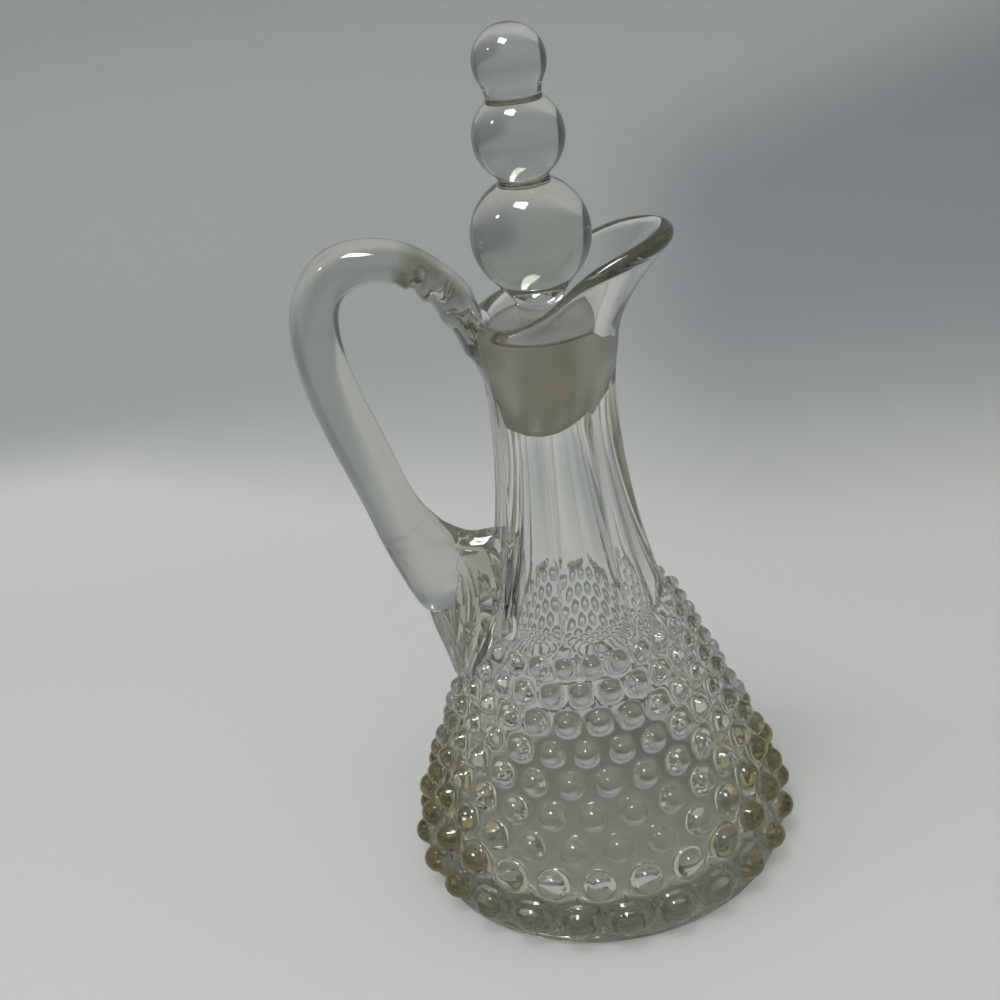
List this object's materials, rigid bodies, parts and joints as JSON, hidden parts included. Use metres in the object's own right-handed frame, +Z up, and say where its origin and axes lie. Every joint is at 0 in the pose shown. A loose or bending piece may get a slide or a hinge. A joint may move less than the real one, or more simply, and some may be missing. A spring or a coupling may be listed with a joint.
{
  "type": "glass cruet",
  "caption": "Pressed-glass cruet with a hobnail body, panelled neck, swept pouring lip, looped handle and a ball stopper in a plastic sleeve.",
  "frame": {"origin": "centre of the flat base that the bottle stands on", "axes": "+Z up along the bottle's axis, +X towards the pouring lip, -X towards the handle"},
  "size_m": [0.095, 0.0882, 0.19],
  "materials": {
    "bottle_glass": "clear pressed glass with a faint grey-olive tint, fire polished",
    "handle_glass": "clear solid glass with a faint grey-olive tint, fire polished",
    "stopper_glass": "clear solid glass, fire polished",
    "sleeve_plastic": "milky translucent plastic, yellowed"
  },
  "bodies": {
    "bottle": {"bottle": "bottle_glass", "handle": "handle_glass"},
    "sleeve": {"stopper_seal": "sleeve_plastic"},
    "stopper": {"stopper": "stopper_glass"}
  },
  "joints": [
    {"name": "stopper_lift", "type": "slide", "parent": "bottle", "child": "sleeve", "axis": [0, 0, 1], "range_m": [0, 0.045]},
    {"name": "stopper_twist", "type": "hinge", "parent": "sleeve", "child": "stopper", "pos_m": [0, 0, 0.13], "axis": [0, 0, 1], "continuous": true}
  ]
}
